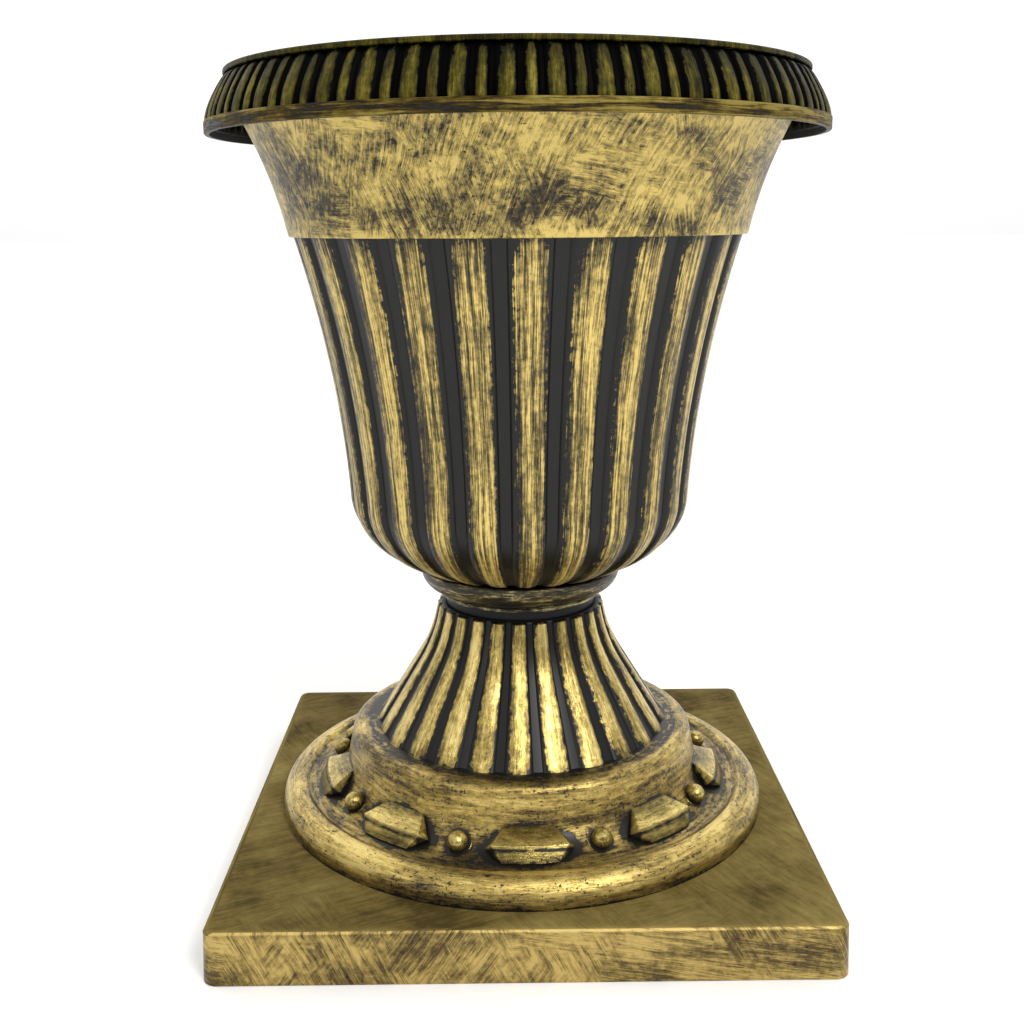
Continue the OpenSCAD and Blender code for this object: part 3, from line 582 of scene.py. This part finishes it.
ring_steps = np.linspace(0, 1, 20)
cove_angles = np.linspace(90, 0, 31)
neck_z = np.linspace(neck_foot_z, ledge_z - ledge_plain, 35)
neck_in_r = ledge_r - neck_rib_h
inner_neck_z = np.linspace(web_z, neck_foot_z, 10)[1:]
neck_faded = foot_loss * np.exp((neck_foot_z - neck_z) / foot_loss_h)
neck_faded = neck_faded + ledge_loss * np.exp((neck_z - ledge_z) / ledge_loss_h)
cove_faded = np.clip((cove_paint_turn - cove_angles) / cove_paint_over, 0, 1)
pedestal_outline = np.vstack([
    stretch([ring_r - pedestal_wall, ring_r], plinth_h - ring_foot),
    # Painted shade: the ring holds little gold where it stands on the plinth and more up to its crest, so it
    # is darker towards its foot.
    stretch(ring_r, [plinth_h, plinth_h + ring_foot], paint=ring_foot_shade_paint, finish=1),
    stretch(*arc(ring_centre, ring_round, 0, 90 + ring_turn_in, len(ring_steps)),
            paint=ring_paint + ring_paint_rise * np.clip(ring_steps / ring_paint_share, 0, 1), finish=1),
    stretch(*cove_lip, paint=0.5, finish=1),
    stretch(*cove_at(cove_angles), paint=cove_paint + cove_paint_rise * cove_faded, finish=1),
    stretch(*arc(shoulder_centre, shoulder_round, 0, 90, 12), paint=0.9, finish=1),
    stretch([shelf_r, neck_foot_r], neck_foot_z, paint=0.35, finish=1),
    stretch(neck_r(neck_z) - neck_rib_h, neck_z, rib=neck_rib_h, paint=neck_paint - neck_faded, finish=2),
    stretch([neck_in_r, neck_in_r - ledge_round], [ledge_z - ledge_round, ledge_z]),
    stretch([socket_r + edge_ring, socket_r, socket_r], [ledge_z, ledge_z - edge_ring, web_top_z]),
    stretch(neck_in_r - pedestal_wall, web_z),
    stretch(neck_r(inner_neck_z) - neck_rib_h - pedestal_wall, inner_neck_z),
    stretch(*arc(shoulder_centre, shoulder_round - pedestal_wall, 90, 0, 4)),
    stretch(*(cove_at(cove_angles[::-10]) - cove_wall * cove_normal)),
    stretch(*arc(ring_centre, ring_round - pedestal_wall, 90, 0, 5)),
])
leaf_pitch = 360 / leaf_count
round_leaf = (bowl_angles - leaf_turn + leaf_pitch / 2) % leaf_pitch - leaf_pitch / 2
round_leaf = np.radians(round_leaf)[None, :] * leaf_middle[0]
round_berry = np.radians(leaf_pitch / 2) * leaf_middle[0] - np.abs(round_leaf)
up_leaf = ((pedestal_outline[:, :2] - leaf_middle) @ up_slope - leaf_rise)[:, None]
off_leaf = side_w * (np.hypot(round_leaf / tip, up_leaf / side_w) - 1)
off_berry = np.hypot(round_berry, up_leaf) - berry_r
off_both = np.clip(np.minimum(off_leaf, off_berry), 0, None)
on_base = (pedestal_outline[:, 1] < cove_z + miss_and_shade_above) * (pedestal_outline[:, 4] == 1)
# Painted shade: the crest is lowered on the cove in a band round each leaf and berry, so that it reads dark
# there.
miss_and_shade = miss_and_shade_most * np.exp(-(off_both / miss_and_shade_width) ** 2) * on_base[:, None]
neck_ribs = across_rib(bowl_angles, flute_count, neck_turn, neck_share)[None, :]
pedestal = turned("pedestal_body", pedestal_outline, neck_ribs, rib_fullness,
                  [inside_black, base_gold, neck_gold], pedestal_grain_r, miss_and_shade)
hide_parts("pedestal")
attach(pedestal, "pedestal")

# The pedestal's web: a flat disc of the same moulding across the top of the neck, under the bowl. Three
# spokes from a hub round the bolt leave wide windows below the bowl's drain holes.
hub_r, window_r, spoke_angle, window_corners = 13, 36, 24, 40
half_window = np.pi / plug_count - radians(spoke_angle) / 2
windows = []
for a in plug_angles:
    sweep = a + np.linspace(-half_window, half_window, window_corners)
    rays = np.stack([np.cos(sweep), np.sin(sweep)], -1)
    windows.append(np.concatenate([window_r * rays, hub_r * rays[::-1]]))
web_outlines = [ring_of(socket_r + floor_lap, count=disc_corners), ring_of(bolt_hole_r)] + windows
web = plate("pedestal_web", web_outlines, web_z, web_top_z - web_gap, inside_black)
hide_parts("pedestal")
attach(web, "pedestal")

# The plinth: the square foot of the pedestal's moulding, with rounded corners and a bevelled top edge. Its
# front was dabbed with slanting strokes, and its top was only wiped, so that it is dull and even.
plinth_half, plinth_draft, plinth_bevel, corner_r, foot_chamfer = 146, 1, 1.5, 6, 0.4
front_margin, side_columns, corner_columns, corner_span = 1, 110, 50, radians(4)
plinth_lays = [("z", (0, radians(35), 0), 0), ("z", (0, radians(-28), 0), 0), ("x", (0, radians(8), 0), 0)]
plinth_gold = dry_brushed("dry_brushed_gold_plinth", ["#55452a", "#82703e", "#a48c50", "#c0a662"],
                          plinth_lays, hair=0.5, length=9, depth=0.75, patch=(40, 40, 24), zoned=1.1, dab=40,
                          frayed=1.8, thin=-0.36, shine=0.25)
top_lays = [("x", (0, 0, radians(25)), 0), ("x", (0, 0, radians(-60)), 0)]
top_gold = dry_brushed("dry_brushed_gold_plinth_top", ["#443a1d", "#63552d", "#76673a", "#897945"], top_lays,
                       hair=0.8, length=12, depth=0.25, patch=(60, 60, 60), zoned=1.0, dab=60, bend=6,
                       frayed=0.6, thin=-0.7, specks=0.9, bare="#2a2716", rough=0.7, metallic=0, shine=0.03)


def square_reach(angle, side, corner):
    """Distance from the axis to a square with rounded corners, along a ray: the flat side, or the corner's
    arc. Side is half the square's width."""
    a = np.abs((angle + np.pi / 4) % (np.pi / 2) - np.pi / 4)
    flat = side / np.cos(a)
    inner = side - corner
    gap = np.clip(corner ** 2 - (inner * (np.cos(a) - np.sin(a))) ** 2, 0, None)
    return np.where(side * np.tan(a) <= inner, flat, inner * (np.cos(a) + np.sin(a)) + np.sqrt(gap))


def square_stretch(side, corner, height, inward=0, paint=0, finish=0):
    """One stretch of the plinth's section, a row for each point: half its width, its corners' radius, its
    height, how far it has come in to the ring's circle, from 0 to 1, its paint and its finish."""
    columns = np.broadcast_arrays(side, corner, height, inward, paint, finish)
    return np.stack([np.atleast_1d(column).astype(float) for column in columns], -1)


eighth = np.pi / 4
quarter = np.concatenate([
    np.linspace(-eighth + corner_span, eighth - corner_span, side_columns, endpoint=False),
    np.linspace(eighth - corner_span, eighth + corner_span, corner_columns, endpoint=False)])
plinth_angles = np.concatenate([quarter + k * np.pi / 2 for k in range(4)])
draft_steps, bevel_steps = np.linspace(0, 1, 8), np.linspace(0, 1, 5)[1:]
top_steps = np.linspace(0.1, 0.9, 9)
draft_left = plinth_draft * (1 - draft_steps)
bevel_z = plinth_h - plinth_bevel
top_half, under_top = plinth_half - pedestal_wall, plinth_h - pedestal_wall
plinth_rows = np.vstack([
    square_stretch(top_half, corner_r - pedestal_wall, 0),
    square_stretch(plinth_half + plinth_draft - foot_chamfer, corner_r + plinth_draft - foot_chamfer, 0,
                   paint=0.5, finish=1),
    square_stretch(plinth_half + draft_left, corner_r + draft_left,
                   foot_chamfer + (bevel_z - foot_chamfer) * draft_steps, paint=0.85, finish=1),
    # The bevel takes the most paint: on the front it is a painted highlight along the top edge.
    square_stretch(plinth_half - plinth_bevel * bevel_steps, corner_r - plinth_bevel * bevel_steps,
                   bevel_z + plinth_bevel * np.sin(bevel_steps * np.pi / 2), paint=1.15, finish=1),
    square_stretch(top_half, corner_r, plinth_h, paint=0.9, finish=2),
    square_stretch(top_half, corner_r, plinth_h, inward=top_steps, paint=0.8, finish=2),
    square_stretch(top_half, corner_r, plinth_h, inward=1, paint=0.8),
    square_stretch(top_half, corner_r, under_top, inward=1),
    square_stretch(top_half, corner_r - pedestal_wall, under_top),
])
side, corner, height, inward, paint, finish = plinth_rows.T[:, :, None]
reach = square_reach(plinth_angles[None, :], side, corner)
reach = reach + (ring_r - pedestal_wall - reach) * inward
plinth_points = [reach * np.cos(plinth_angles), reach * np.sin(plinth_angles), height + reach * 0]
plinth_points = np.stack(plinth_points, -1)

# On the sides the grain is unrolled, as if all four lay in the front's plane: side_no counts them to the
# right from the front, which is 0, and along is the way along them. Only the front's bevel has the front's
# bright gold, as a painted highlight, and the others have the top's dull one, as painted shade.
side_no = (plinth_angles + 1.25 * np.pi) % (2 * np.pi) // (np.pi / 2) - 1
along = plinth_half * (np.tan(plinth_angles + np.pi / 2 * (1 - side_no)) + 2 * side_no)
unrolled = np.stack([along + reach * 0, reach * 0 - plinth_half, height + reach * 0], -1)
plinth_grain = np.where((finish == 1)[..., None], unrolled, plinth_points)
shaded_bevels = (height >= bevel_z) & (plinth_points[..., 1] > front_margin - plinth_half)
finish = np.where(shaded_bevels & (finish == 1), 2, finish).astype(int)
plinth = net("plinth", plinth_points, plinth_grain, paint + reach * 0, finish,
             [inside_black, plinth_gold, top_gold])
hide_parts("pedestal")
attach(plinth, "pedestal")

# The leaves and berries: nine long leaves with a raised ridge lie round the cove, and a berry with a thin
# collar stands between each two. They are part of the pedestal's moulding, and the brush rubbed their tops
# bright. A leaf's ridge is lighter still as a painted highlight, and its walls and a band on its lower face
# are darker as painted shade.
base_sunk, crease_shade_loss, crease_shade_at, crease_shade_width = 2, 0.75, 0.74, 0.15
leaf_paint_low, ridge_highlight_paint, wall_shade_loss, wall_share = 0.5, 0.75, 0.9, 0.35
leaf_grain_step, leaf_sharp = 60, 30
collar_r, collar_round, collar_z, collar_foot, berry_root = 6.8, 0.8, -0.6, -1, -5
berry_paint_mid, berry_paint_most = 0.55, 1.1
leaf_gold = dry_brushed("dry_brushed_gold_leaves", ["#4a3d22", "#85763f", "#b8a25c", "#e2cc80"], [upright],
                        hair=0.8, length=5, depth=0.3, patch=(20, 20, 20), zoned=0.3, thin=-0.45,
                        specks=0.66, rough=0.25, metallic=0.8)
cove_v, cove_w = np.stack([up_slope, outward]) @ (cove_at(cove_angles) - leaf_middle[:, None])


def bedded(v, w):
    """Heights off the cove's chord, raised where they would lie deeper under the cove's surface than a base
    is sunk, so that it stays inside the wall."""
    return np.maximum(w, np.interp(v, cove_v, cove_w) - base_sunk)


def on_cove(u, v, w, turn):
    """Points at a length round the cove, a width up its slope and a height off its chord, in mm."""
    r = leaf_middle[0] + v * up_slope[0] + w * outward[0]
    z = leaf_middle[1] + v * up_slope[1] + w * outward[1]
    a = np.radians(turn - 90) + u / leaf_middle[0]
    return np.stack([r * np.cos(a), r * np.sin(a), z + r * 0], -1)


# A leaf is a hipped roof on six sides with a long ridge. It stands on walls that go down into the cove, and
# a band of painted shade runs along its lower face below the ridge. Along it runs u and across it q, whose
# doubled ends are the walls.
leaf_u = np.linspace(-1, 1, 90)[:, None] * tip
leaf_q = np.concatenate([[-1, -1], np.linspace(-1, 1, 41), [1, 1]])[None, :]
sunk = np.concatenate([[1, wall_share], np.zeros(41), [wall_share, 1]])[None, :]
inset = (tip - np.abs(leaf_u)) / tip
half_w = np.where(leaf_q > 0, side_w + leaf_drop, side_w - leaf_drop)
leaf_v = half_w * np.clip(inset / (1 - corner_share), 0, 1) * leaf_q
high = 1 - np.abs(leaf_v) / half_w
over_ends = (inset - (1 - high) * (1 - corner_share)) / (1 - ridge_share)
blade = np.minimum(high, over_ends)
leaf_w = leaf_edge_h - cove_depth + leaf_ridge_h * blade - sunk * (leaf_edge_h + pedestal_wall)
leaf_up = leaf_v + leaf_rise - leaf_drop
crease_shade = (leaf_q < 0) * np.exp(-((high - crease_shade_at) / crease_shade_width) ** 2)
# A painted highlight along the ridge, and painted shade on the walls and in a band along the lower face.
leaf_paint = leaf_paint_low + ridge_highlight_paint * np.clip(blade, 0, 1)
leaf_paint = leaf_paint - wall_shade_loss * sunk - crease_shade_loss * crease_shade
leaf_grain = np.stack([leaf_w, leaf_v, leaf_u + leaf_v * 0], -1)
pieces = []
for k in range(leaf_count):
    points = on_cove(leaf_u + leaf_v * 0, leaf_up, bedded(leaf_up, leaf_w), leaf_turn + leaf_pitch * k)
    leaf = net(f"leaf_{k + 1}", points, leaf_grain + leaf_grain_step * k, leaf_paint, np.zeros((1, 1)),
               [leaf_gold], ends=(False, True), sharp=leaf_sharp)
    pieces.append(welded(leaf))

# A berry is turned about its own axis: a root in the wall, a small round collar and most of a ball.
collar_turn = np.radians([30, 90, 150])
ball = np.linspace(-40, 90, 18)
spin = np.radians(np.linspace(0, 360, 36, endpoint=False))
berry_rho = np.concatenate([[0, collar_r + collar_round, collar_r + collar_round],
                            collar_r + collar_round * np.cos(collar_turn),
                            berry_r * np.cos(np.radians(ball))])
berry_h = np.concatenate([[berry_root, berry_root, collar_foot],
                          collar_z + collar_round * np.sin(collar_turn),
                          berry_lift + berry_r * np.sin(np.radians(ball))])
berry_paint = np.concatenate([[0, 0, 0.2], [0.7, 0.8, 0.4],
                              np.clip(berry_paint_mid + ball / 90, 0, berry_paint_most)])
berry_u = berry_rho[:, None] * np.cos(spin)
berry_up = berry_rho[:, None] * np.sin(spin) + leaf_rise
berry_w = bedded(berry_up, berry_h[:, None] - cove_depth)
for k in range(leaf_count):
    points = on_cove(berry_u, berry_up, berry_w, leaf_turn + leaf_pitch * (k + 0.5))
    berry = net(f"berry_{k + 1}", points, points, berry_paint[:, None] + spin * 0, np.zeros((1, 1)),
                [leaf_gold], ends=(False, True))
    pieces.append(welded(berry))
for piece in pieces:
    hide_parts("pedestal")
    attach(piece, "pedestal")

# The fixing: a moulded nylon bolt with a flat washer and a wing nut clamps the two mouldings together. Under
# its head lies a rubber washer, and three pushed-in rubber plugs close the drain holes.
nylon = black_moulding("black_nylon", colour="#1d1f22", roughness=0.35)
rubber = black_moulding("black_rubber", colour="#191919", roughness=0.7, grit=0.5)
fixings = [(nylon, ("fixing_bolt", "flat_washer", "wing_nut")),
           (rubber, ("sealing_washer", "drain_plug_1", "drain_plug_2", "drain_plug_3"))]
for material, names in fixings:
    for name in names:
        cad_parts[name].data.materials.clear()
        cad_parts[name].data.materials.append(material)
